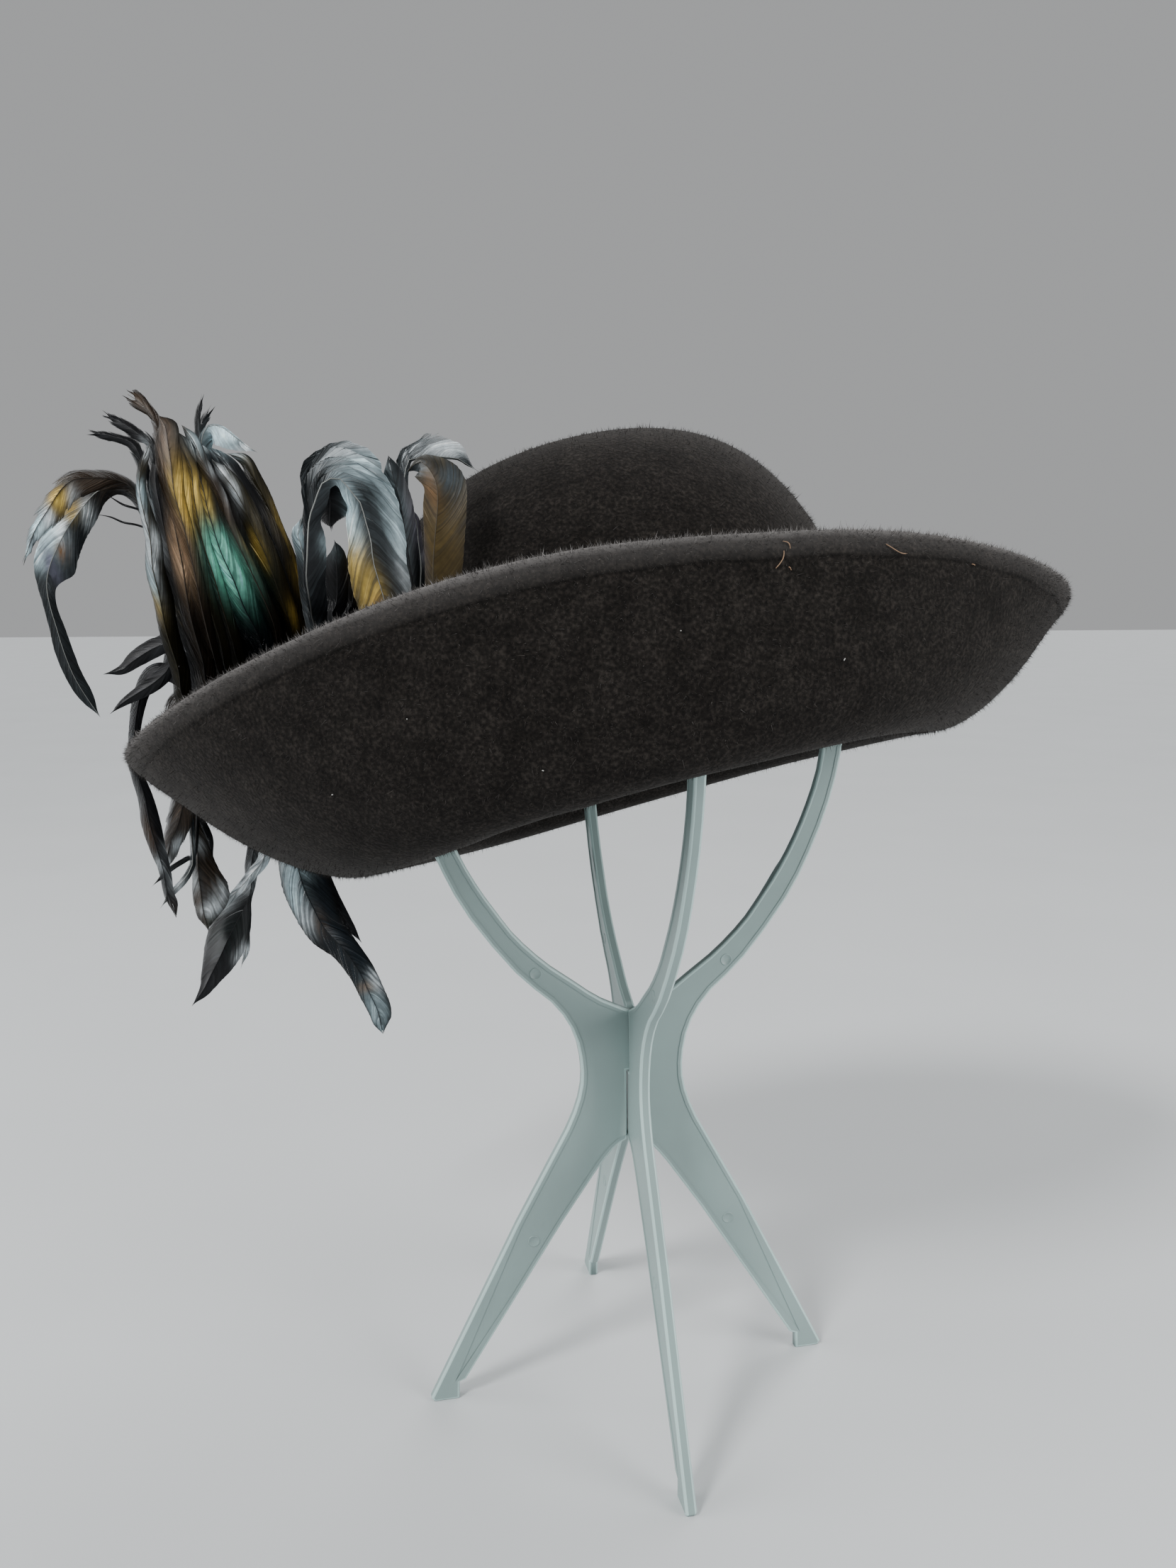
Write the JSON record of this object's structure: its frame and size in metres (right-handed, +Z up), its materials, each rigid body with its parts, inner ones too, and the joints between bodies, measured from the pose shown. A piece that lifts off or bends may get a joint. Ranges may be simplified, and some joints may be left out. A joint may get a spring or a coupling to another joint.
{
  "type": "wide-brim hat on a stand",
  "caption": "Round-crowned felt hat with a deep brim turned up into a boat shape, trimmed with curling cock feathers, resting on a slotted plastic stand with splayed legs and curved arms.",
  "frame": {"origin": "under the middle of the whole, on the floor that the stand's feet rest on", "axes": "+Z up, +X along the brim's length away from the feathered end, +Y away from the turned-up side in front"},
  "size_m": [0.3776, 0.24, 0.3819],
  "materials": {
    "felt": "matt brown-black fur felt with a fine nap",
    "bunch_feathers": "glossy black feather with a green and bronze sheen",
    "curl_feathers": "glossy black feather with a silver-blue and gold sheen",
    "stand_plastic": "satin pale grey-green moulded plastic"
  },
  "bodies": {
    "root": {"crown": "felt", "brim": "felt", "plume_bunch": "bunch_feathers", "plume_curls": "curl_feathers", "stand_plate_a": "stand_plastic", "stand_plate_b": "stand_plastic"}
  },
  "joints": []
}
